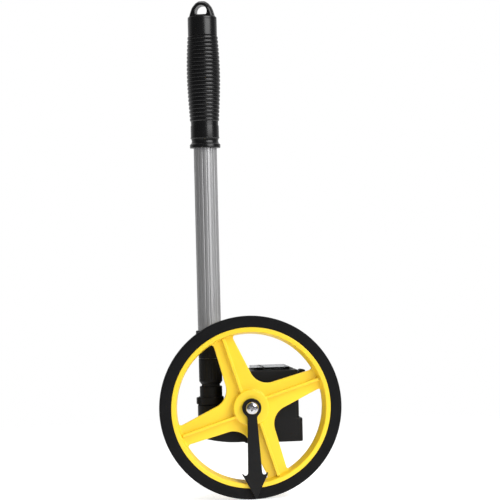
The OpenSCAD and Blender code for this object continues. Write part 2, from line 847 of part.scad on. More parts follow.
// A ring with three slits that closes on the next tube when its collar is twisted
module collet(bore, ring_out, spigot_out, z0, z1, z2) {
  difference() {
    rotate_extrude($fn = medium) polygon([[bore, z0], [ring_out - 0.3, z0], [ring_out, z0 + 1.5],
      [ring_out, z1], [spigot_out, z1], [spigot_out, z2], [bore, z2]]);
    for (a = [0:120:240]) {
      rotate(a) translate([0, -0.4, z0 - 1]) cube([ring_out + 1, 0.8, z1 - z0 - 2]);
    }
  }
}

module middle_collet() {
  color(nylon) on_handle() collet(inner_r + running_gap, 8.6, middle_bore,
    collar_foot + 3, middle_foot, middle_foot + 7);
}

module outer_collet() {
  color(nylon) on_handle() collet(middle_r + running_gap, 9.25, outer_bore,
    collar_split + 5, outer_foot, outer_foot + 7);
}

module middle_collar() {
  top = collar_split - 0.3;
  color(plastic_black) on_handle() difference() {
    rotate_extrude($fn = fine) polygon([[inner_r + 0.1, collar_foot], [8.5, collar_foot],
      [collar_r, collar_foot + 2.4], [collar_r, top - 0.5], [collar_r - 0.5, top],
      [middle_r + running_gap, top], [middle_r + running_gap, collar_foot + collar_floor],
      [inner_r + 0.1, collar_foot + collar_floor]]);
    for (k = [0:17]) {
      rotate(20 * k + 10) translate([collar_r + 0.35, 0, collar_foot + 4])
        cylinder(r = 0.6, h = 14.5, $fn = small);
    }
  }
}

module outer_collar() {
  lip_foot = collar_top - 4.2;
  color(plastic_black) on_handle() difference() {
    rotate_extrude($fn = fine) polygon([[middle_r + 0.1, collar_split], [collar_r - 0.4, collar_split],
      [collar_r, collar_split + 0.4], [collar_r, lip_foot - 1.4], [11.9, lip_foot],
      [12.1, lip_foot + 0.6], [12.1, collar_top - 0.7], [11.5, collar_top],
      [outer_r + running_gap, collar_top], [outer_r + running_gap, outer_foot - 0.2],
      [9.35, outer_foot - 0.2], [9.35, collar_split + collar_floor],
      [middle_r + 0.1, collar_split + collar_floor]]);
    for (k = [0:17]) {
      rotate(20 * k + 10) translate([collar_r + 0.35, 0, collar_split + 2.5])
        cylinder(r = 0.6, h = 14, $fn = small);
    }
  }
}

module outer_tube() {
  flute_r = 0.75;
  color(steel) on_handle() difference() {
    translate([0, 0, outer_foot]) linear_extrude(outer_head - outer_foot) difference() {
      circle(r = outer_r, $fn = fine);
      circle(r = outer_bore, $fn = medium);
    }
    translate([0, 0, collar_top + 4]) linear_extrude(grip_bottom + 4 - collar_top) {
      for (k = [0:flutes - 1]) {
        rotate(360 * (k + 0.5) / flutes) translate([outer_r + flute_r - 0.32, 0])
          circle(r = flute_r, $fn = 32);
      }
    }
  }
}

// ---------- grip ----------

module grip_ferrule() {
  color(plastic_black) on_handle() rotate_extrude($fn = fine) polygon(concat(
    [[outer_r, grip_bottom], [12.9, grip_bottom], [13.5, grip_bottom + 0.6],
      [13.5, grip_bottom + 2.8], [13.1, grip_bottom + 3.5]],
    arc(15.0, 233.6, 3.3, 212, 122, 8),
    [[12.9, sleeve_foot - 0.4], [12.6, sleeve_foot], [outer_r, sleeve_foot]]));
}

// Radius of the barrel-shaped envelope over the ribs, as a share of their length
function envelope(t) = 12.45 + 1.6 * sin(180 * pow(t, 1.12)) + 0.42 * t;

module grip_sleeve() {
  groove = 0.95;
  color(plastic_black) on_handle() rotate_extrude($fn = fine) polygon(concat(
    [[outer_r, sleeve_foot], [12.3, sleeve_foot], [12.5, sleeve_foot + 0.3], [12.5, ribs_foot]],
    [for (k = [0:rib_count - 1])
      let (z = ribs_foot + (k + 0.5) * rib_pitch, e = envelope((k + 0.5) / rib_count))
      each [[e - groove, z - 1.4], [e - 0.78, z - 1.05], [e - 0.35, z - 0.72], [e - 0.06, z - 0.4],
        [e, z], [e - 0.06, z + 0.4], [e - 0.35, z + 0.72], [e - 0.78, z + 1.05], [e - groove, z + 1.4]]],
    [[12.6, ribs_head + 0.3], [12.85, ribs_head + 0.6], [12.85, sleeve_head - 0.3],
      [12.6, sleeve_head], [outer_r, sleeve_head]]));
}

lug_profile = [[0, 357.6], [3.4, 357.0], [6.0, 355.2], [7.6, 353.3], [8.85, 351.6],
  [9.85, 349.2], [10.8, 346.2], [11.5, 343.6]];

module grip_cap() {
  base_top = 343.4;
  hole_mid = 348.1;
  color(plastic_black) on_handle() difference() {
    union() {
      rotate_extrude($fn = fine) polygon([[0, outer_head], [outer_bore, outer_head],
        [outer_bore, sleeve_head], [12.6, sleeve_head], [12.85, sleeve_head + 0.3],
        [12.7, base_top - 0.6], [12.2, base_top], [0, base_top]]);
      rotate(lug_turn) intersection() {
        rotate_extrude($fn = fine) polygon(concat([[0, 342]], [[11.8, 342]],
          [for (i = [7:-1:0]) lug_profile[i]]));
        translate([-20, -lug_t / 2, 340]) cube([40, lug_t, 20]);
      }
    }
    rotate(lug_turn) translate([0, 20, hole_mid]) rotate([90, 0, 0])
      cylinder(r = hang_hole_r, h = 40, $fn = medium);
    rotate(lug_turn) translate([-hang_hole_r, -20, 345.3])
      cube([2 * hang_hole_r, 40, hole_mid - 345.3]);
  }
}

// ---------- selection ----------

wheel();
tyre();
hub_bushes();
drive_gear();
gear_rivets();
axle();
axle_washer();
axle_nut();
pointer();
thrust_washer();
pointer_screw();
housing_shell();
housing_cover();
cover_screws();
window_lens();
window_frame();
counter_frame();
frame_screws();
drum_shaft();
idler_pin();
idler_gear();
input_gear();
drum_units();
drum_tens();
drum_hundreds();
drum_thousands();
drum_ten_thousands();
carry_shaft();
carry_pinion_a();
carry_pinion_b();
carry_pinion_c();
carry_pinion_d();
reset_pin();
reset_lever();
reset_spring();
handle_socket();
socket_ring();
socket_pin();
buffer_ring();
inner_tube();
inner_tube_guide();
middle_tube();
middle_tube_guide();
middle_collet();
middle_collar();
outer_tube();
outer_collet();
outer_collar();
grip_ferrule();
grip_sleeve();
grip_cap();
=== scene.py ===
import json
import math

import bmesh
import bpy
import numpy as np
from mathutils import Matrix, Vector


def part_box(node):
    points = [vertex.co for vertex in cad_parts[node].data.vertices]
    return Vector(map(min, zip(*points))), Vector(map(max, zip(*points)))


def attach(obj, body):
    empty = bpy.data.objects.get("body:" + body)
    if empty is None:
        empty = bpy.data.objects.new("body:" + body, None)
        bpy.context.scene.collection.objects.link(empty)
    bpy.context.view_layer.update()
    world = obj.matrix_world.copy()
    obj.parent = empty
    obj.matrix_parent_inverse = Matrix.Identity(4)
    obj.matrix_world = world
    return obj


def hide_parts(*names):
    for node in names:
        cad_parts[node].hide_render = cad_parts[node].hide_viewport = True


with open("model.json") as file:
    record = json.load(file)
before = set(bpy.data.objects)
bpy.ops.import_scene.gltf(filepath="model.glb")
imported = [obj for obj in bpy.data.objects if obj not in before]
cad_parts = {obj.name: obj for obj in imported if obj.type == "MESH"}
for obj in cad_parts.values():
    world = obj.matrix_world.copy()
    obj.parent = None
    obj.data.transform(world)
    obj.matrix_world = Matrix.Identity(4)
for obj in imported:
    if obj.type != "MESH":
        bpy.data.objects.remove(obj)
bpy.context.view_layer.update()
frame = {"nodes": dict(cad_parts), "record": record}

# Lengths are millimetres in the shapes below and become metres when a mesh is made.
MM = 0.001
TURN = 2 * math.pi
NODES = frame["nodes"]


# ---------- measures taken from the CAD frame ----------

def box_mm(name):
    """Lowest and highest corner of a CAD node in millimetres."""
    low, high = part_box(name)
    return np.array(low) / MM, np.array(high) / MM


def middle(name):
    """Middle of a CAD node's box."""
    low, high = box_mm(name)
    return (low + high) / 2


tyre_low, tyre_high = box_mm("tyre")
tyre_r = (tyre_high[2] - tyre_low[2]) / 2
rim_front = box_mm("wheel")[0][1]
rim_back = -rim_front
neck_back = box_mm("wheel")[1][1]
pointer_front, pointer_back = box_mm("pointer")[0][1], box_mm("pointer")[1][1]
screw_low, screw_high = box_mm("pointer_screw")
case_low, case_high = box_mm("housing_shell")
case_front, cover_front = case_low[1], case_high[1]
base_right, case_top, case_bottom = case_high[0], case_high[2], case_low[2]
glass_low, glass_high = box_mm("window_lens")
case_back = glass_high[1] + 7.5
frame_low, frame_high = box_mm("window_frame")
ring_low, ring_high = box_mm("socket_ring")
handle_x, handle_y, _ = middle("outer_tube")
drum_x, _, drum_z = middle("input_gear")
lever_x, _, lever_z = middle("reset_pin")
lever_front, lever_back = box_mm("reset_lever")[0][1], box_mm("reset_lever")[1][1]
tube_low, tube_high = box_mm("outer_tube")
outer_r = (tube_high[0] - tube_low[0]) / 2
sleeve_foot, sleeve_head = box_mm("grip_sleeve")[0][2], box_mm("grip_sleeve")[1][2]
handle = (handle_x, handle_y)

# ---------- dimensions the boxes don't give ----------

RIM_R, SEAT_R, THROAT_R, RIM_FRONT_R = 69.7, 71.5, 63.5, 65.5
WINDOW_R = THROAT_R + 0.8
SPOKE_TURN = math.radians(17.6)
PLATE_FRONT, PLATE_BACK = 0.8, 3.8
RIB_MIDDLE, RIB_HALF = 3.5, 1.2
BOSS_R, STEP_R, NECK_R, BORE_R = 15.5, 13.0, 8.5, 5.0
POINTER_LEAN = math.radians(1.6)
POINTER_REACH = 78.4
BARB_Z, NOTCH_Z, HALF_BARB = -56.5, -58.0, 11.2
WALL = 2.0
BOX_LEFT, BOX_RIGHT, BOX_BOTTOM = -14.0, 44.8, -28.0
LEDGE_Z, TAIL_TOP, TAIL_X, TAIL_R = -12.0, -15.0, -38.0, 6.3
BLOCK_X, BELLY_X, BELLY_Z, BELLY_R = -4.0, -10.0, -31.2, 106.0
BOSS_RING_R, RING_R = 12.0, 11.2
FRAME_LIP, BAR_LOW, BAR_HIGH, BAR_SINK = 0.3, 13.4, 15.4, 0.6
POSTS = [(-9.5, 25.6), (-9.5, -26.4), (41, -27.5), (-37.6, -21.3)]
SOCKET_R, SOCKET_FOOT, SOCKET_TOP = 9.9, -18.0, 17.3
COLLAR_R, COLLAR_FOOT, COLLAR_SPLIT, COLLAR_TOP = 10.2, 19.3, 42.0, 66.4
INNER_R, MIDDLE_R = 7.25, 8.75
GRIP_BOTTOM, RIBS_FOOT, RIB_COUNT, RIB_PITCH = 227.5, 251.0, 22, 3.42
RIBS_HEAD = RIBS_FOOT + RIB_COUNT * RIB_PITCH
FLUTES = 18
LUG_TURN, LUG_T, CAP_BASE = math.radians(-17), 12.0, 343.4
HOLE_R, HOLE_Z, HOLE_SILL = 5.2, 348.1, 345.3
DRUM_R, DRUM_START, DRUM_PITCH, RING_W, DIGIT_W = 12.0, 16.0, 6.4, 1.3, 3.6


# ---------- meshes ----------

def link(name, mesh):
    """An object in the scene that holds a mesh, a light or a camera."""
    piece = bpy.data.objects.new(name, mesh)
    bpy.context.scene.collection.objects.link(piece)
    return piece


def shaded_mesh(name, verts, faces, normals=None):
    """A smooth mesh from millimetre vertices, shaded by the given normals or by its own angles."""
    mesh = bpy.data.meshes.new(name)
    mesh.from_pydata((np.asarray(verts) * MM).tolist(), [], [list(map(int, f)) for f in faces])
    if normals is None:
        work = bmesh.new()
        work.from_mesh(mesh)
        bmesh.ops.remove_doubles(work, verts=work.verts, dist=1e-6)
        bmesh.ops.recalc_face_normals(work, faces=work.faces)
        work.to_mesh(mesh)
        work.free()
    mesh.polygons.foreach_set("use_smooth", [True] * len(mesh.polygons))
    if normals is None:
        mesh.set_sharp_from_angle(angle=math.radians(38))
    else:
        mesh.normals_split_custom_set_from_vertices(normals.tolist())
    mesh.update()
    return mesh


def rounded(points):
    """Corners (r, h, radius) of a closed profile, each bent over its radius."""
    out = []
    for i, (r, h, radius) in enumerate(points):
        here = Vector((r, h))
        before = Vector(points[i - 1][:2]) - here
        after = Vector(points[(i + 1) % len(points)][:2]) - here
        if radius <= 0:
            out.append((r, h))
            continue
        half = before.angle(after) / 2
        reach = min(radius / math.tan(half), 0.48 * before.length, 0.48 * after.length)
        start, end = here + before.normalized() * reach, here + after.normalized() * reach
        for t in np.linspace(0, 1, 6):
            bend = start * (1 - t) ** 2 + here * 2 * t * (1 - t) + end * t ** 2
            out.append((bend.x, bend.y))
    return out


def arc(ca, cb, r, start, end, steps):
    """Points along an arc about (ca, cb), from one angle to another."""
    return [(ca + r * math.cos(a), cb + r * math.sin(a)) for a in np.linspace(start, end, steps + 1)]


def fillet(before, here, after, r, steps):
    """Points that round the corner at here."""
    before, here, after = Vector(before), Vector(here), Vector(after)
    u, w = (before - here).normalized(), (after - here).normalized()
    half = u.angle(w) / 2
    centre = here + (u + w).normalized() * r / math.sin(half)
    start, end = here + u * r / math.tan(half) - centre, here + w * r / math.tan(half) - centre
    first = math.atan2(start.y, start.x)
    turn = math.atan2(start.x * end.y - start.y * end.x, start.dot(end))
    return arc(centre.x, centre.y, r, first, first + turn, steps)


def lathe(name, profile, segments, axis="Z", centre=handle, shape=None):
    """A closed (radius, height) profile turned about Z or Y; shape may change the radius by angle."""
    profile = np.array(profile)
    angle = (np.arange(segments) * TURN / segments)[:, None]
    radius = np.broadcast_to(profile[:, 0], (segments, len(profile)))
    height = np.broadcast_to(profile[:, 1], radius.shape)
    if shape is not None:
        radius = shape(angle, radius, height)
    across, along = radius * np.cos(angle) + centre[0], radius * np.sin(angle) + centre[1]
    order = [across, along, height] if axis == "Z" else [across, height, along]
    verts = np.stack(order, -1).reshape(-1, 3)
    count = len(profile)
    faces = []
    for k in range(count):
        m = (k + 1) % count
        if profile[k, 0] < 1e-6 and profile[m, 0] < 1e-6:
            continue
        for i in range(segments):
            j = (i + 1) % segments
            faces.append([i * count + k, j * count + k, j * count + m, i * count + m])
    return link(name, shaded_mesh(name, verts, faces))


# ---------- distance fields: negative inside a solid ----------

def both(a, b, r=0.0):
    """Where both solids are, with the edge between them rounded."""
    if r <= 0:
        return np.maximum(a, b)
    return np.minimum(-r, np.maximum(a, b)) + np.hypot(np.maximum(a + r, 0), np.maximum(b + r, 0))


def join(a, b, r=0.0):
    """Where either solid is, with a fillet between them."""
    return -both(-a, -b, r)


def cut(a, b, r=0.0):
    """The first solid without the second, its new edge rounded."""
    return both(a, -b, r)


def span(value, low, high):
    """Distance to the slab between two planes."""
    return np.abs(value - (low + high) / 2) - (high - low) / 2


def rectangle(a, b, a0, a1, b0, b1, r=0.0):
    """Distance to a rectangle in the (a, b) plane, its corners rounded by r."""
    return both(span(a, a0, a1), span(b, b0, b1), r)


def circle(a, b, ca, cb, r):
    """Distance to a circle in the (a, b) plane."""
    return np.hypot(a - ca, b - cb) - r


def outline(a, b, points):
    """Distance to a closed outline of points in the (a, b) plane."""
    nearest, inside = np.inf, False
    for (ax, ay), (bx, by) in zip(points, list(points[1:]) + [points[0]]):
        ex, ey = bx - ax, by - ay
        size = ex * ex + ey * ey
        if size < 1e-12:
            continue
        pa, pb = a - ax, b - ay
        t = np.clip((pa * ex + pb * ey) / size, 0, 1)
        nearest = np.minimum(nearest, (pa - t * ex) ** 2 + (pb - t * ey) ** 2)
        crosses = (ay > b) != (by > b)
        inside = inside ^ (crosses & ((ex * pb - ey * pa > 0) == (by > ay)))
    return np.where(inside, -1, 1) * np.sqrt(nearest)


def surface_net(field, low, high, cell):
    """Vertices and quads of the surface where field is zero, one vertex in each cube it crosses."""
    axes = [np.arange(lo - 1.5 * cell, hi + 2.5 * cell, cell) for lo, hi in zip(low, high)]
    shape = tuple(len(axis) for axis in axes)
    value = np.broadcast_to(field(*np.ix_(*axes)), shape)
    inside = value < 0
    corners = sum(inside[i:shape[0] - 1 + i, j:shape[1] - 1 + j, k:shape[2] - 1 + k].astype(np.int8)
                  for i in (0, 1) for j in (0, 1) for k in (0, 1))
    cells = np.argwhere((corners > 0) & (corners < 8))
    number = np.full(shape, -1)
    number[tuple(cells.T)] = np.arange(len(cells))
    total, hits = np.zeros((len(cells), 3)), np.zeros(len(cells))
    faces = []
    for axis in range(3):
        unit = np.eye(3, dtype=int)
        step, side, other = unit[axis], unit[(axis + 1) % 3], unit[(axis + 2) % 3]
        for i, j in ((0, 0), (0, 1), (1, 0), (1, 1)):
            start = cells + i * side + j * other
            a, b = value[tuple(start.T)], value[tuple((start + step).T)]
            hit = (a < 0) != (b < 0)
            share = np.where(hit, a / np.where(hit, a - b, 1), 0)
            total += np.where(hit[:, None], start + share[:, None] * step, 0)
            hits += hit
        ends = [slice(None)] * 3
        ends[axis] = slice(0, -1)
        first = inside[tuple(ends)]
        ends[axis] = slice(1, None)
        edges = np.argwhere(first != inside[tuple(ends)])
        loops = np.stack([number[tuple((edges - i * side - j * other).T)]
                          for i, j in ((1, 1), (0, 1), (0, 0), (1, 0))], 1)
        outward = first[tuple(edges.T)]
        faces.append(np.where(outward[:, None], loops, loops[:, ::-1]))
    verts = total / hits[:, None] * cell + np.array([axis[0] for axis in axes])
    return verts, np.concatenate(faces)


def slope(field, points, h):
    """Gradient of a field at points."""
    x, y, z = points.T
    return np.stack([field(x + h, y, z) - field(x - h, y, z), field(x, y + h, z) - field(x, y - h, z),
                     field(x, y, z + h) - field(x, y, z - h)], 1) / (2 * h)


def carve(name, field, low, high, cell):
    """The solid a field describes, its vertices moved exactly onto the surface."""
    points, faces = surface_net(field, low, high, cell)
    for _ in range(3):
        rise = slope(field, points, 0.02)
        move = field(*points.T)[:, None] * rise / np.maximum((rise ** 2).sum(1), 0.1)[:, None]
        reach = np.maximum(np.linalg.norm(move, axis=1) / (0.6 * cell), 1)
        points = points - move / reach[:, None]
    normals = slope(field, points, 0.12 * cell)
    normals /= np.maximum(np.linalg.norm(normals, axis=1), 1e-9)[:, None]
    return link(name, shaded_mesh(name, points, faces, normals))


# ---------- materials ----------

def add(tree, kind, settings=None, **links):
    """A shader node whose inputs take a value or another node's socket."""
    made = tree.nodes.new(kind)
    for key, value in (settings or {}).items():
        setattr(made, key, value)
    for key, value in links.items():
        socket = made.inputs[key.replace("_", " ")]
        if isinstance(value, bpy.types.NodeSocket):
            tree.links.new(value, socket)
        else:
            socket.default_value = value
    return made


def remap(tree, value, low, high, start=0.3, end=0.7):
    """A node output that goes from low to high while value goes from start to end."""
    return add(tree, "ShaderNodeMapRange", Value=value, From_Min=start, From_Max=end,
               To_Min=low, To_Max=high).outputs[0]


def finish(name, colour, rough, metal=0.0, tone=0.06, patch=60, grain=1200, depth=0.02,
           stretch=(1, 1, 1), swing=0.15, specular=0.5, scratch=0.0):
    """A material with uneven tone, uneven gloss and a fine bumped grain; stretch draws the grain out."""
    material = bpy.data.materials.new(name)
    material.use_nodes = True
    tree = material.node_tree
    tree.nodes.clear()
    where = add(tree, "ShaderNodeTexCoord").outputs["Object"]
    drawn = add(tree, "ShaderNodeMapping", Vector=where, Scale=stretch).outputs[0]
    broad = add(tree, "ShaderNodeTexNoise", Vector=drawn, Scale=patch, Detail=4).outputs["Fac"]
    fine = add(tree, "ShaderNodeTexNoise", Vector=drawn, Scale=grain, Detail=6).outputs["Fac"]
    shade = add(tree, "ShaderNodeVectorMath", {"operation": "SCALE"},
                Vector=colour, Scale=remap(tree, broad, 1 - tone, 1 + tone)).outputs[0]
    height = fine
    if scratch:
        lines = add(tree, "ShaderNodeTexVoronoi", {"feature": "DISTANCE_TO_EDGE"},
                    Vector=drawn, Scale=patch * 3).outputs["Distance"]
        height = add(tree, "ShaderNodeMath", {"operation": "MULTIPLY"}).outputs[0]
        tree.links.new(fine, height.node.inputs[0])
        tree.links.new(remap(tree, lines, 1 - scratch, 1, 0, 0.02), height.node.inputs[1])
    bump = add(tree, "ShaderNodeBump", Strength=1.0, Distance=depth * MM, Height=height).outputs[0]
    body = add(tree, "ShaderNodeBsdfPrincipled", Base_Color=shade, Metallic=metal, Normal=bump,
               Roughness=remap(tree, fine, rough * (1 - swing), rough * (1 + swing)))
    body.inputs["Specular IOR Level"].default_value = specular
    add(tree, "ShaderNodeOutputMaterial", Surface=body.outputs[0])
    return material


def clear_finish(name):
    """Clear moulding: see-through face on, a mirror at a glance, its upright side walls darkened by a
    painted shade.
    """
    material = bpy.data.materials.new(name)
    material.use_nodes = True
    tree = material.node_tree
    tree.nodes.clear()
    where = add(tree, "ShaderNodeTexCoord").outputs["Object"]
    ripple = add(tree, "ShaderNodeTexNoise", Vector=where, Scale=150, Detail=2).outputs["Fac"]
    bump = add(tree, "ShaderNodeBump", Strength=1.0, Distance=0.01 * MM, Height=ripple).outputs[0]
    mirror = add(tree, "ShaderNodeFresnel", IOR=1.49, Normal=bump).outputs[0]
    shine = add(tree, "ShaderNodeBsdfGlossy", Color=(0.5, 0.5, 0.51, 1), Roughness=0.03, Normal=bump)
    upright = add(tree, "ShaderNodeSeparateXYZ",
                  Vector=add(tree, "ShaderNodeNewGeometry").outputs["True Normal"]).outputs["Z"]
    level = add(tree, "ShaderNodeMath", {"operation": "ABSOLUTE"}).outputs[0]
    tree.links.new(upright, level.node.inputs[0])
    # Painted shade: upright side walls pass 70 percent of what is behind them, level faces 95 percent;
    # the faint blue cast is the moulding's own tint.
    tint_and_wall_shade = add(tree, "ShaderNodeVectorMath", {"operation": "SCALE"},
               Vector=(0.97, 0.99, 1.0), Scale=remap(tree, level, 0.7, 0.95)).outputs[0]
    through = add(tree, "ShaderNodeBsdfTransparent", Color=tint_and_wall_shade)
    mix = add(tree, "ShaderNodeMixShader", Fac=mirror)
    tree.links.new(through.outputs[0], mix.inputs[1])
    tree.links.new(shine.outputs[0], mix.inputs[2])
    add(tree, "ShaderNodeOutputMaterial", Surface=mix.outputs[0])
    return material


LOOKS = {
    "moulded_yellow": finish("moulded_yellow", (0.93, 0.64, 0.028), 0.36, tone=0.03, patch=40,
                             grain=500, depth=0.015),
    "tyre_rubber": finish("tyre_rubber", (0.006, 0.006, 0.0065), 0.7, tone=0.2, patch=90,
                          grain=1500, depth=0.03, specular=0.12),
    "case_black": finish("case_black", (0.006, 0.006, 0.0065), 0.5, tone=0.15, patch=50,
                         grain=2200, depth=0.05, specular=0.18),
    "grip_black": finish("grip_black", (0.005, 0.005, 0.0055), 0.27, tone=0.15, patch=70,
                         grain=400, depth=0.002, swing=0.06, specular=0.48),
    "tube_metal": finish("tube_metal", (0.39, 0.39, 0.395), 0.4, metal=0.55, tone=0.12, patch=700,
                         grain=3000, depth=0.006, stretch=(1, 1, 0.01), swing=0.25),
    "steel": finish("steel", (0.62, 0.62, 0.63), 0.28, metal=1.0, tone=0.08, patch=300,
                    grain=2500, depth=0.01, scratch=0.5),
    "screw_chrome": finish("screw_chrome", (0.6, 0.6, 0.62), 0.16, metal=1.0, tone=0.05,
                           patch=300, grain=2500, depth=0.004),
    "bush_brass": finish("bush_brass", (0.62, 0.43, 0.16), 0.35, metal=1.0, tone=0.12,
                         patch=250, grain=2600, depth=0.02, scratch=0.4),
    "nylon": finish("nylon", (0.72, 0.69, 0.6), 0.45, tone=0.04, patch=80, grain=1400, depth=0.02),
    "drum_white": finish("drum_white", (0.82, 0.82, 0.8), 0.42, tone=0.03, patch=90, grain=1600,
                         depth=0.012),
    "frame_grey": finish("frame_grey", (0.07, 0.07, 0.075), 0.5, tone=0.1, patch=60, grain=1800,
                         depth=0.03),
    "soft_black": finish("soft_black", (0.014, 0.014, 0.014), 0.8, tone=0.2, patch=120,
                         grain=1800, depth=0.04, specular=0.25),
    "lens_clear": clear_finish("lens_clear"),
}
ink_black = finish("ink_black", (0.01, 0.01, 0.01), 0.4, patch=200, grain=1500, depth=0.005)
ink_red = finish("ink_red", (0.5, 0.01, 0.01), 0.4, patch=200, grain=1500, depth=0.005)
BODY_OF = {member: body for body, members in frame["record"]["behaviour"]["bodies"].items()
           for member in members}
SLOT_OF = {part["node"]: part["material_slot"] for part in frame["record"]["subparts"]}


def dress(piece, node_name, material=None):
    """Gives a piece the finish and the motion of a CAD node."""
    slot_name = SLOT_OF[node_name]
    piece.data.materials.clear()
    piece.data.materials.append(material or LOOKS[slot_name])
    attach(piece, BODY_OF[node_name])
    return piece


def stand_in(piece, node_name):
    """A piece shown in place of one CAD node."""
    dress(piece, node_name)
    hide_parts(node_name)
    return piece


# ---------- wheel and tyre ----------

def window_outline():
    """One opening of the wheel, drawn with the spoke on its left pointing up."""
    left_edge, low_edge, hub_corner = 4.7, 12.92, (12.08, 14.68)
    top = (left_edge, math.sqrt(WINDOW_R ** 2 - left_edge ** 2))
    right = (math.sqrt(WINDOW_R ** 2 - low_edge ** 2), low_edge)
    spread = math.radians(6)
    a, b = math.atan2(top[1], top[0]) - spread, math.atan2(right[1], right[0]) + spread
    near_top = (WINDOW_R * math.cos(a), WINDOW_R * math.sin(a))
    near_right = (WINDOW_R * math.cos(b), WINDOW_R * math.sin(b))
    return (fillet(right, hub_corner, top, 16, 16) + fillet(hub_corner, top, near_top, 2.6, 6)
            + arc(0, 0, WINDOW_R, a, b, 24) + fillet(near_right, right, hub_corner, 2.6, 6))


def wheel_piece():
    """The yellow moulding: plate with four openings, ribs, rim with the tyre seat, boss and neck."""
    opening = window_outline()
    rim_profile = rounded([
        (RIM_FRONT_R + 0.5, rim_front, 0.5), (RIM_R, rim_front, 0.4), (RIM_R, -2.5, 0),
        (SEAT_R, -2.5, 0), (SEAT_R, 2, 0), (RIM_R, 2, 0), (RIM_R, rim_back, 0.4),
        (THROAT_R + 0.6, rim_back, 0.6), (THROAT_R, rim_back - 1, 0.4),
        (RIM_FRONT_R, rim_front + 0.6, 0.3)])
    boss_profile = rounded([
        (BORE_R, rim_front + 0.4, 0.3), (BOSS_R, rim_front + 0.4, 0.9), (BOSS_R, 4.3, 0),
        (STEP_R + 0.3, 4.3, 0.3), (STEP_R, rim_back, 0.4), (NECK_R, rim_back, 0),
        (NECK_R, neck_back, 0.3), (BORE_R, neck_back, 0.2)])

    def field(x, y, z):
        r = np.hypot(x, z)
        turn = np.mod(np.arctan2(z, x) - SPOKE_TURN, TURN / 4)
        along, across = r * np.cos(turn), r * np.sin(turn)
        plate = cut(r - THROAT_R - 2, outline(along, across, opening))
        plate = both(plate, span(y, PLATE_FRONT, PLATE_BACK), 0.5)
        rib = rectangle(along, across, 9, WINDOW_R, RIB_MIDDLE - RIB_HALF, RIB_MIDDLE + RIB_HALF)
        rib = both(rib, span(y, PLATE_FRONT - 4.2, PLATE_BACK + 1.4), 0.45)
        rim = outline(r, y, rim_profile)
        boss = outline(r, y, boss_profile)
        solid = join(join(join(plate, rib, 0.6), rim, 0.7), boss, 0.8)
        return np.maximum(solid, BORE_R - r)

    low, high = (-SEAT_R, rim_front, -SEAT_R), (SEAT_R, neck_back, SEAT_R)
    return carve("yellow_wheel", field, low, high, 0.62)


def tyre_piece():
    """The tyre: a flat-sided rubber band with a slightly crowned tread."""
    front, back = tyre_low[1], tyre_high[1]
    profile = rounded([
        (RIM_R, -2.5, 0), (RIM_R, front + 0.3, 0.3), (RIM_R + 0.7, front, 0.4),
        (tyre_r - 1.2, front, 0.5), (tyre_r - 0.4, front + 0.4, 0.6), (tyre_r - 0.02, front + 1.4, 0.8),
        (tyre_r, (front + back) / 2, 0), (tyre_r - 0.05, back - 3, 1.5), (tyre_r - 1.0, back - 0.8, 1.5),
        (tyre_r - 3, back, 0.8), (RIM_R + 0.7, back, 0.4), (RIM_R, back - 0.3, 0.3), (RIM_R, 2, 0),
        (SEAT_R, 2, 0), (SEAT_R, -2.5, 0)])
    return lathe("rubber_tyre", profile, 360, "Y", (0, 0))


# ---------- pointer and its screw ----------

def pointer_piece():
    """The hanging arrow: a ring, a straight arm and a barbed head."""
    side = [(4, -6), (6.1, NOTCH_Z + 2.6), (6.5, NOTCH_Z + 0.9), (7.4, NOTCH_Z), (8.9, NOTCH_Z - 0.1),
            (HALF_BARB - 0.35, BARB_Z + 0.25), (HALF_BARB, BARB_Z), (HALF_BARB + 0.05, BARB_Z - 0.6),
            (0.8, 1 - POINTER_REACH)]
    arrow = side + [(0, -POINTER_REACH)] + [(-a, b) for a, b in side[::-1]]
    cos, sin = math.cos(POINTER_LEAN), math.sin(POINTER_LEAN)

    def field(x, y, z):
        across, along = x * cos + z * sin, z * cos - x * sin
        flat = join(outline(across, along, arrow), circle(x, z, 0, 0, 8.3), 1.5)
        solid = both(flat, span(y, pointer_front, pointer_back), 0.45)
        return np.maximum(solid, -circle(x, z, 0, 0, 3.05))

    low, high = box_mm("pointer")
    return carve("arrow_pointer", field, low, high, 0.3)


def screw_piece():
    """Pan head with a cross recess, and the shank behind it."""
    head_back = pointer_front - 0.1
    dome = [(0, head_back), (5.6, head_back), (5.6, head_back - 1.1)]
    dome += arc(3.2, head_back - 1.4, 2.4, 0, math.radians(-62), 8)
    dome += [(2.2, screw_low[1] + 0.3), (0, screw_low[1] + 0.1)]
    turns = [math.radians(a) for a in (25, 115)]

    def field(x, y, z):
        r = np.hypot(x, z)
        solid = outline(r, y, dome + [(-6, screw_low[1] + 0.1), (-6, head_back)])
        solid = join(solid, both(r - 1.65, span(y, head_back - 1, screw_high[1]), 0.2))
        for a in turns:
            along, across = x * math.cos(a) - z * math.sin(a), x * math.sin(a) + z * math.cos(a)
            slot = both(rectangle(along, across, -2.7, 2.7, -0.55, 0.55, 0.2),
                        y - screw_low[1] - 1.6)
            solid = cut(solid, slot, 0.12)
        return solid

    return carve("chrome_screw", field, screw_low, screw_high, 0.14)


# ---------- housing ----------

def case_side(x, z):
    """Side outlines of the upper box and of the wider lower body with its tail."""
    box = rectangle(x, z, BOX_LEFT, BOX_RIGHT, BOX_BOTTOM, case_top, 1.6)
    block = rectangle(x, z, BLOCK_X, base_right, case_bottom, LEDGE_Z, 0.8)
    sweep = both(rectangle(x, z, TAIL_X, BLOCK_X + 4, BELLY_Z, TAIL_TOP),
                 circle(x, z, BELLY_X, BELLY_Z + BELLY_R, BELLY_R))
    tail = circle(x, z, TAIL_X, TAIL_TOP - TAIL_R, TAIL_R)
    return box, join(join(block, sweep, 0.5), tail)


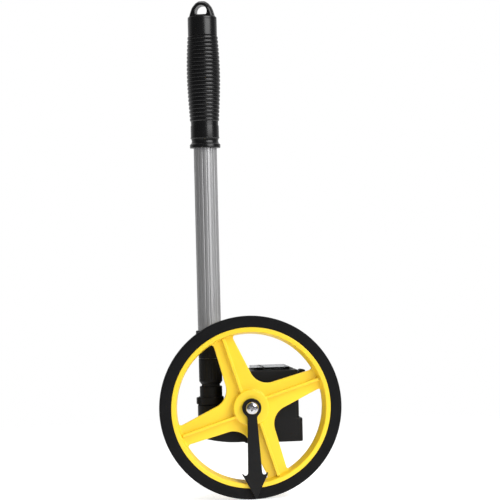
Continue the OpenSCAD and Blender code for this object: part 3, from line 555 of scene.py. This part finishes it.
def case_field(x, y, z):
    """Outside of the whole housing, with rounded upright corners."""
    box, low_body = case_side(x, z)
    corner = 4.5
    plan_box = rectangle(x, y, BOX_LEFT, BOX_RIGHT, case_front, case_back, corner)
    plan_low = rectangle(x, y, TAIL_X - TAIL_R, base_right, case_front, case_back, corner)
    return join(both(box, plan_box, 0.9), both(low_body, plan_low, 0.9), 0.4)


def window_gap(x, y, z):
    """The opening in the housing's top for the window surround."""
    return both(rectangle(x, y, frame_low[0] - 0.05, frame_high[0] + 0.05, frame_low[1] - 0.05,
                          frame_high[1] + 0.05), case_top - WALL - 1 - z)


def shell_piece():
    """Front shell of the housing, with its screw posts, handle boss and lever lugs."""
    def field(x, y, z):
        outer = case_field(x, y, z)
        solid = np.maximum(outer, -outer - WALL)
        across = np.hypot(x - handle_x, y - handle_y)
        boss = both(across - BOSS_RING_R, span(z, case_bottom + 0.5, TAIL_TOP + 0.2))
        solid = join(solid, np.maximum(boss, outer), 0.3)
        solid = join(solid, both(across - BOSS_RING_R, span(z, LEDGE_Z - 4, 0.8), 0.3), 0.6)
        for px, pz in POSTS:
            post = np.maximum(both(circle(x, z, px, pz, 3.4), case_front + 0.5 - y), outer)
            solid = np.minimum(solid, np.maximum(post, -circle(x, z, px, pz, 1)))
        lug = both(rectangle(x, z, 36.9, 43.9, lever_z - 3, lever_z + 2.6),
                   np.minimum(span(y, lever_front - 1.7, lever_front - 0.2),
                              span(y, lever_back + 0.2, lever_back + 1.7)))
        solid = np.minimum(solid, np.maximum(lug, outer))
        solid = cut(solid, both(circle(x, z, 0, 0, NECK_R + 0.7), y - case_front - WALL - 1), 0.4)
        solid = cut(solid, both(across - SOCKET_R, SOCKET_FOOT - z), 0.3)
        solid = cut(solid, both(rectangle(x, z, 40.1, 60, lever_z + 0.1, lever_z + 12),
                                span(y, lever_front - 0.1, lever_back + 0.1)), 0.3)
        solid = cut(solid, window_gap(x, y, z), 0.25)
        return both(solid, y - cover_front, 0.25)

    return carve("counter_case", field, case_low, case_high, 0.6)


def cover_piece():
    """Rear shell of the housing: axle boss, two upright ridges and four sunk screw holes."""
    low, high = box_mm("housing_cover")

    def field(x, y, z):
        outer = case_field(x, y, z)
        solid = np.maximum(outer, -outer - WALL)
        solid = np.minimum(solid, np.maximum(circle(x, z, 0, 0, 7.5), outer))
        for px, pz in POSTS:
            solid = np.minimum(solid, np.maximum(circle(x, z, px, pz, 3.4), outer))
        for rx in (-2, 24):
            raised = both(rectangle(x, z, rx, rx + 2, -24, -10, 0.5), y - high[1], 0.4)
            solid = join(solid, both(raised, case_back - 1 - y), 0.4)
        solid = np.maximum(solid, -circle(x, z, 0, 0, 3.02))
        for px, pz in POSTS:
            solid = np.maximum(solid, -circle(x, z, px, pz, 1.25))
            solid = cut(solid, both(circle(x, z, px, pz, 2.4), case_back - 1.8 - y), 0.25)
        solid = cut(solid, window_gap(x, y, z), 0.25)
        return both(solid, cover_front - y, 0.25)

    return carve("rear_cover", field, low, high, 0.5)


def divider(x, y, z):
    """The bar that crosses the clear window."""
    plan = rectangle(x, y, BAR_LOW, BAR_HIGH, frame_low[1] + 0.5, frame_high[1] - 0.5, 0.4)
    return both(plan, span(z, case_top - BAR_SINK, glass_high[2]), 0.25)


def window_frame_piece():
    """The flat black surround the clear window sits in, with its divider bar."""
    def field(x, y, z):
        solid = both(rectangle(x, y, frame_low[0], frame_high[0], frame_low[1], frame_high[1], 0.8),
                     span(z, frame_low[2], case_top + FRAME_LIP), 0.25)
        seat = both(rectangle(x, y, glass_low[0] - 0.03, glass_high[0] + 0.03, glass_low[1] - 0.03,
                              glass_high[1] + 0.03), glass_low[2] - 0.03 - z)
        digits = rectangle(x, y, drum_x - 5, drum_x + 5, DRUM_START + 0.6,
                           DRUM_START + 5 * DRUM_PITCH - 1.6, 0.5)
        return join(cut(cut(solid, seat), digits), divider(x, y, z), 0.1)

    return carve("window_surround", field, frame_low, frame_high, 0.3)


def lens_piece():
    """The clear cover, its edges softened, slotted for the divider bar."""
    def field(x, y, z):
        plan = rectangle(x, y, glass_low[0], glass_high[0], glass_low[1], glass_high[1], 0.5)
        slab = both(plan, span(z, glass_low[2], glass_high[2]), 0.3)
        slot = both(span(x, BAR_LOW - 0.05, BAR_HIGH + 0.05), case_top - BAR_SINK - 0.05 - z)
        return cut(slab, slot)

    return carve("clear_window", field, glass_low, glass_high, 0.35)


def lever_piece():
    """The reset lever: a hooked paddle on a pin, with a heel that meets the spring."""
    paddle = [(0.6, 0), (2.1, 0.7), (3.6, 3.0), (7.2, 3.0), (10.2, 4.3), (12.6, 6.0)]
    paddle += arc(12.9, 7.2, 1.1, math.radians(-70), math.radians(90), 8)
    paddle += [(10.4, 8.7), (9.0, 8.3), (7.9, 6.9), (6.9, 5.7), (3.4, 5.4), (1.4, 5.4), (0.8, 4.6),
               (-2.4, 0.9)]
    heel = [(-1, 2.2), (-4.3, 2.5), (-3.6, 1.1), (-1, -1.6)]
    low, high = box_mm("reset_lever")

    def field(x, y, z):
        a, b = x - lever_x, z - lever_z
        body = join(outline(a, b, paddle), circle(a, b, 0, 0, 2.6), 0.6)
        body = both(body, span(y, lever_front, lever_back), 0.5)
        foot = both(outline(a, b, heel), span(y, lever_front + 2, lever_back - 2), 0.2)
        return np.maximum(join(body, foot, 0.2), -circle(a, b, 0, 0, 1.3))

    return carve("reset_paddle", field, low, high, 0.28)


# ---------- handle ----------

def scallops(low, high):
    """Shape for a collar: shallow upright grooves between two heights."""
    def shape(angle, radius, height):
        phase = np.mod(angle, TURN / FLUTES) - TURN / FLUTES / 2
        reach = COLLAR_R * np.abs(phase)
        depth = np.sqrt(np.maximum(0.36 - reach ** 2, 0)) - 0.35
        fade = np.clip(np.minimum(height - low, high - height) / 0.5, 0, 1)
        outside = radius > COLLAR_R - 0.02
        return radius - np.where(outside, np.maximum(depth, 0) * fade, 0)
    return shape


def ladder(points, low, high, count):
    """Adds evenly spaced heights to the outer wall between low and high."""
    out = []
    for i, (r, h) in enumerate(points):
        out.append((r, h))
        r2, h2 = points[(i + 1) % len(points)]
        if abs(r - r2) < 1e-6 and r > INNER_R + 1 and min(h, h2) <= low and max(h, h2) >= high:
            marks = np.linspace(low, high, count)
            out += [(r, m) for m in (marks if h2 > h else marks[::-1])]
    return out


def socket_piece():
    """The cup that holds the foot of the inner tube."""
    return lathe("socket_tube", rounded([
        (INNER_R, SOCKET_FOOT + 2, 0), (0, SOCKET_FOOT + 2, 0), (0, SOCKET_FOOT, 0),
        (SOCKET_R, SOCKET_FOOT, 0.3), (SOCKET_R, SOCKET_TOP, 0.7), (INNER_R, SOCKET_TOP, 0.2)]), 128)


def socket_ring_piece():
    """The ring on top of the housing's boss, with a lug on its left side."""
    def field(x, y, z):
        across = circle(x, y, handle[0], handle[1], 0)
        ring = both(across - RING_R, span(z, ring_low[2], ring_high[2]), 1.0)
        taper = 0.24 * np.maximum(handle[0] - 9 - x, 0)
        lug = both(both(ring_low[0] - x, np.abs(y - handle[1]) + taper - 4.4, 0.6),
                   both(span(z, ring_low[2], ring_high[2]) + taper, x - handle[0] + 8), 0.6)
        return cut(join(ring, lug, 0.5), across - SOCKET_R, 0.1)

    return carve("socket_ring_moulding", field, ring_low, ring_high, 0.4)


def middle_collar_piece():
    """Lower twist-lock collar, on the foot of the middle tube."""
    top = COLLAR_SPLIT - 0.3
    profile = rounded([
        (INNER_R + 0.1, COLLAR_FOOT, 0.1), (8.5, COLLAR_FOOT, 0.3), (COLLAR_R, COLLAR_FOOT + 2.4, 0.4),
        (COLLAR_R, top, 0.5), (MIDDLE_R + 0.05, top, 0.2), (MIDDLE_R + 0.05, COLLAR_FOOT + 1.9, 0),
        (INNER_R + 0.1, COLLAR_FOOT + 1.9, 0)])
    low, high = COLLAR_FOOT + 4, COLLAR_FOOT + 18.5
    return lathe("lower_collar", ladder(profile, low, high, 24), 360, shape=scallops(low, high))


def outer_collar_piece():
    """Upper twist-lock collar, with the wide lip the outer tube stands in."""
    lip = COLLAR_TOP - 4.2
    profile = rounded([
        (MIDDLE_R + 0.1, COLLAR_SPLIT, 0.1), (COLLAR_R, COLLAR_SPLIT, 0.4), (COLLAR_R, lip - 1.4, 0.6),
        (12.1, lip + 0.2, 0.5), (12.1, COLLAR_TOP, 0.7), (outer_r + 0.05, COLLAR_TOP, 0.2),
        (outer_r + 0.05, tube_low[2] - 0.2, 0), (9.35, tube_low[2] - 0.2, 0),
        (9.35, COLLAR_SPLIT + 1.9, 0), (MIDDLE_R + 0.1, COLLAR_SPLIT + 1.9, 0)])
    low, high = COLLAR_SPLIT + 2.5, COLLAR_SPLIT + 16.5
    return lathe("upper_collar", ladder(profile, low, high, 24), 360, shape=scallops(low, high))


def outer_tube_piece():
    """The fluted tube; its flutes run from above the collar to just inside the grip."""
    low, high = COLLAR_TOP + 4, GRIP_BOTTOM + 4
    bore = outer_r - 0.8

    def shape(angle, radius, height):
        phase = np.mod(angle, TURN / FLUTES) - TURN / FLUTES / 2
        depth = np.sqrt(np.maximum(0.75 ** 2 - (outer_r * phase) ** 2, 0)) - 0.43
        fade = np.clip(np.minimum(height - low, high - height) / 1.5, 0, 1)
        return radius - np.where(radius > outer_r - 0.01, np.maximum(depth, 0) * fade, 0)

    marks = [low, low + 1.5] + list(np.linspace(low + 20, high - 20, 7)) + [high - 1.5, high]
    profile = [(bore, tube_low[2]), (outer_r, tube_low[2])] + [(outer_r, m) for m in marks]
    profile += [(outer_r, tube_high[2]), (bore, tube_high[2])]
    return lathe("fluted_tube", profile, FLUTES * 20, shape=shape)


# ---------- grip ----------

def envelope(t):
    """Radius over the ribs at a share of their length."""
    return 12.45 + 1.6 * math.sin(math.pi * t ** 1.12) + 0.42 * t


def ferrule_piece():
    """The waisted ring under the grip."""
    profile = rounded([
        (outer_r, GRIP_BOTTOM, 0), (13.5, GRIP_BOTTOM, 0.6), (13.5, GRIP_BOTTOM + 3.0, 0.5),
        (12.2, GRIP_BOTTOM + 4.2, 0.7), (11.7, GRIP_BOTTOM + 6.2, 1.6), (12.2, GRIP_BOTTOM + 8.1, 0.7),
        (12.9, sleeve_foot - 0.7, 0.3), (12.8, sleeve_foot, 0.3), (outer_r, sleeve_foot, 0)])
    return lathe("grip_ferrule_moulding", profile, 160)


def sleeve_piece():
    """Ribbed handgrip: broad rounded ribs with narrow grooves between them."""
    groove, swell = 0.8, 0.45
    rib = [(rise * RIB_PITCH, groove * abs(2 * rise) ** 3) for rise in np.linspace(-0.5, 0.5, 15)[:-1]]
    profile = [(outer_r, sleeve_foot)] + rounded([
        (11.5, sleeve_foot, 0), (12.5, sleeve_foot, 0.35), (12.5, RIBS_FOOT - 0.4, 0.4)])[1:]
    for k in range(RIB_COUNT):
        z, top = RIBS_FOOT + (k + 0.5) * RIB_PITCH, envelope((k + 0.5) / RIB_COUNT) + swell
        profile += [(top - drop, z + rise) for rise, drop in rib]
    profile += rounded([(12.2, RIBS_HEAD, 0.3), (12.85, RIBS_HEAD + 0.6, 0.3),
                        (12.85, sleeve_head, 0.3), (outer_r, sleeve_head, 0)])
    return lathe("ribbed_grip", profile, 160)


def cap_piece():
    """End cap: a plug in the tube and a flat domed lug with a D-shaped hole."""
    lug = [(0, 357.6), (3.4, 357.0), (6.0, 355.2), (7.6, 353.3), (8.85, 351.6), (9.85, 349.2),
           (10.8, 346.2), (11.5, 343.6), (11.8, 342)]
    lug = [(-a, b) for a, b in lug[:0:-1]] + lug
    bore = outer_r - 0.8
    base = rounded([(-1, tube_high[2], 0), (bore, tube_high[2], 0), (bore, sleeve_head, 0),
                    (12.85, sleeve_head, 0.3), (12.7, CAP_BASE - 0.3, 0.5), (-1, CAP_BASE, 0)])
    cos, sin = math.cos(LUG_TURN), math.sin(LUG_TURN)

    def field(x, y, z):
        dx, dy = x - handle_x, y - handle_y
        r = np.hypot(dx, dy)
        across, deep = dx * cos + dy * sin, dy * cos - dx * sin
        dome = both(outline(r, z, lug), np.abs(deep) - LUG_T / 2, 1.1)
        solid = join(outline(r, z, base), dome, 1.0)
        hole = both(np.maximum(circle(across, z, 0, HOLE_Z, HOLE_R), HOLE_SILL - z),
                    np.abs(deep) - LUG_T)
        return cut(solid, hole, 0.7)

    low, high = box_mm("grip_cap")
    return carve("hanging_cap", field, low, high, 0.27)


# ---------- counter digits ----------

def digit_band(place, name, body_node, ink):
    """Ten numerals bent round one digit drum, the next higher one towards the rear of the drum."""
    narrow, step = 0.72, math.radians(36)
    verts, faces = [], []
    for digit in range(10):
        curve = bpy.data.curves.new(f"numeral_{digit}", "FONT")
        curve.body = str(digit)
        curve.size = 5.6
        curve.align_x = "CENTER"
        curve.align_y = "CENTER"
        curve.extrude = 0.02
        curve.offset = 0.12
        curve.resolution_u = 3
        holder = bpy.data.objects.new(f"numeral_{digit}", curve)
        shape = bpy.data.meshes.new_from_object(holder)
        angle = step * digit
        offset = len(verts)
        for v in shape.vertices:
            turn = v.co.y / DRUM_R
            r = DRUM_R + 0.04 + v.co.z
            x, z = r * math.sin(turn - angle), r * math.cos(turn - angle)
            y = DRUM_START + place * DRUM_PITCH + RING_W + DIGIT_W / 2 - v.co.x * narrow
            verts.append((x + drum_x, y, z + drum_z))
        faces += [[offset + i for i in face.vertices] for face in shape.polygons]
        bpy.data.objects.remove(holder)
        bpy.data.curves.remove(curve)
        bpy.data.meshes.remove(shape)
    band = link(name, shaded_mesh(name, verts, faces))
    return dress(band, body_node, ink)


DRUMS = ["drum_units", "drum_tens", "drum_hundreds", "drum_thousands", "drum_ten_thousands"]
for place, drum in enumerate(DRUMS):
    digit_band(place, drum.replace("drum", "digits"), drum, ink_red if place == 0 else ink_black)

# ---------- pieces ----------

for make, node_name in [
        (wheel_piece, "wheel"), (tyre_piece, "tyre"), (pointer_piece, "pointer"),
        (screw_piece, "pointer_screw"), (shell_piece, "housing_shell"),
        (cover_piece, "housing_cover"), (window_frame_piece, "window_frame"),
        (lens_piece, "window_lens"), (lever_piece, "reset_lever"), (socket_piece, "handle_socket"),
        (socket_ring_piece, "socket_ring"), (middle_collar_piece, "middle_collar"),
        (outer_collar_piece, "outer_collar"), (outer_tube_piece, "outer_tube"),
        (ferrule_piece, "grip_ferrule"), (sleeve_piece, "grip_sleeve"), (cap_piece, "grip_cap")]:
    stand_in(make(), node_name)

for node_name, shown in NODES.items():
    shown.data.materials.clear()
    shown.data.materials.append(LOOKS[SLOT_OF[node_name]])

# ---------- stage, light and camera ----------

CAMERA_TURN = math.radians(7.7)


def world_light():
    """White to the camera; to everything else a dim room with a bright backdrop behind the part."""
    world = bpy.data.worlds.new("studio")
    bpy.context.scene.world = world
    world.use_nodes = True
    tree = world.node_tree
    tree.nodes.clear()
    way = add(tree, "ShaderNodeTexCoord").outputs["Generated"]
    parts = add(tree, "ShaderNodeSeparateXYZ", Vector=way).outputs
    behind = remap(tree, parts["Y"], 0.1, 0.85, 0.1, 0.9)
    seen = add(tree, "ShaderNodeLightPath").outputs["Is Camera Ray"]
    room = add(tree, "ShaderNodeBackground", Color=(1, 1, 1, 1), Strength=behind)
    paper = add(tree, "ShaderNodeBackground", Color=(1, 1, 1, 1), Strength=1.0)
    mix = add(tree, "ShaderNodeMixShader", Fac=seen)
    tree.links.new(room.outputs[0], mix.inputs[1])
    tree.links.new(paper.outputs[0], mix.inputs[2])
    add(tree, "ShaderNodeOutputWorld", Surface=mix.outputs[0])


def floor():
    """A pale floor under the tyre that fades out into the white around it."""
    half, clearance = 2.0, 0.0001
    z = tyre_low[2] * MM - clearance
    mesh = bpy.data.meshes.new("floor")
    mesh.from_pydata([(-half, -half, z), (half, -half, z), (half, half, z), (-half, half, z)], [],
                     [[0, 1, 2, 3]])
    sheet = link("floor", mesh)
    material = bpy.data.materials.new("pale_floor")
    material.use_nodes = True
    tree = material.node_tree
    tree.nodes.clear()
    where = add(tree, "ShaderNodeTexCoord").outputs["Object"]
    away = add(tree, "ShaderNodeVectorMath", {"operation": "LENGTH"}, Vector=where).outputs["Value"]
    speck = add(tree, "ShaderNodeTexNoise", Vector=where, Scale=40, Detail=3).outputs["Fac"]
    shade = add(tree, "ShaderNodeVectorMath", {"operation": "SCALE"}, Vector=(0.9, 0.9, 0.9),
                Scale=remap(tree, speck, 0.99, 1.01)).outputs[0]
    paper = add(tree, "ShaderNodeBsdfDiffuse", Color=shade)
    glow = add(tree, "ShaderNodeEmission", Color=(1, 1, 1, 1), Strength=0.6)
    both_lit = add(tree, "ShaderNodeAddShader")
    clear = add(tree, "ShaderNodeBsdfTransparent")
    mix = add(tree, "ShaderNodeMixShader", Fac=remap(tree, away, 0, 1, 0.12, 0.75))
    tree.links.new(paper.outputs[0], both_lit.inputs[0])
    tree.links.new(glow.outputs[0], both_lit.inputs[1])
    tree.links.new(both_lit.outputs[0], mix.inputs[1])
    tree.links.new(clear.outputs[0], mix.inputs[2])
    add(tree, "ShaderNodeOutputMaterial", Surface=mix.outputs[0])
    sheet.data.materials.append(material)


def soft_light(name, around, high, distance, width, height, watts, mirrored=True):
    """A soft box facing the part: degrees right of the camera, then metres up, away and across."""
    way = math.radians(around - 90) - CAMERA_TURN
    data = bpy.data.lights.new(name, "AREA")
    data.shape = "RECTANGLE"
    data.size, data.size_y, data.energy = width, height, watts
    lamp = link(name, data)
    lamp.location = (distance * math.cos(way), distance * math.sin(way), high)
    aim = Vector((-0.01, 0.01, 0.12)) - lamp.location
    lamp.rotation_euler = aim.to_track_quat("-Z", "Y").to_euler()
    lamp.visible_glossy = mirrored


def camera():
    """The photo's camera: a long lens, turned a little to the right and rolled a little."""
    roll = math.radians(1.38)
    forward = Vector((math.sin(CAMERA_TURN), math.cos(CAMERA_TURN), 0))
    right = Vector((math.cos(CAMERA_TURN), -math.sin(CAMERA_TURN), 0))
    up = Vector((0, 0, 1))
    tilted_right = right * math.cos(roll) - up * math.sin(roll)
    tilted_up = right * math.sin(roll) + up * math.cos(roll)
    data = bpy.data.cameras.new("camera")
    data.lens, data.sensor_width = 124.2, 36
    data.shift_x, data.shift_y = -0.0027, 0.0012
    data.clip_end = 50
    eye = link("camera", data)
    facing = Matrix((tilted_right, tilted_up, -forward)).transposed().to_4x4()
    eye.matrix_world = Matrix.Translation((-0.1969, -1.486, 0.136)) @ facing
    bpy.context.scene.camera = eye


world_light()
floor()
soft_light("key", 43, 0.78, 1.5, 1.3, 1.2, 23.5)
soft_light("high_key", 62, 1.3, 1.2, 0.5, 0.5, 9, False)
soft_light("left", -62, 0.3, 1.6, 0.6, 1.2, 4, False)
soft_light("front", -5, 0.6, 1.8, 1.0, 1.0, 2, False)
soft_light("top", 170, 1.5, 0.35, 1.0, 0.8, 5)
camera()
bpy.context.scene.view_settings.view_transform = "Standard"
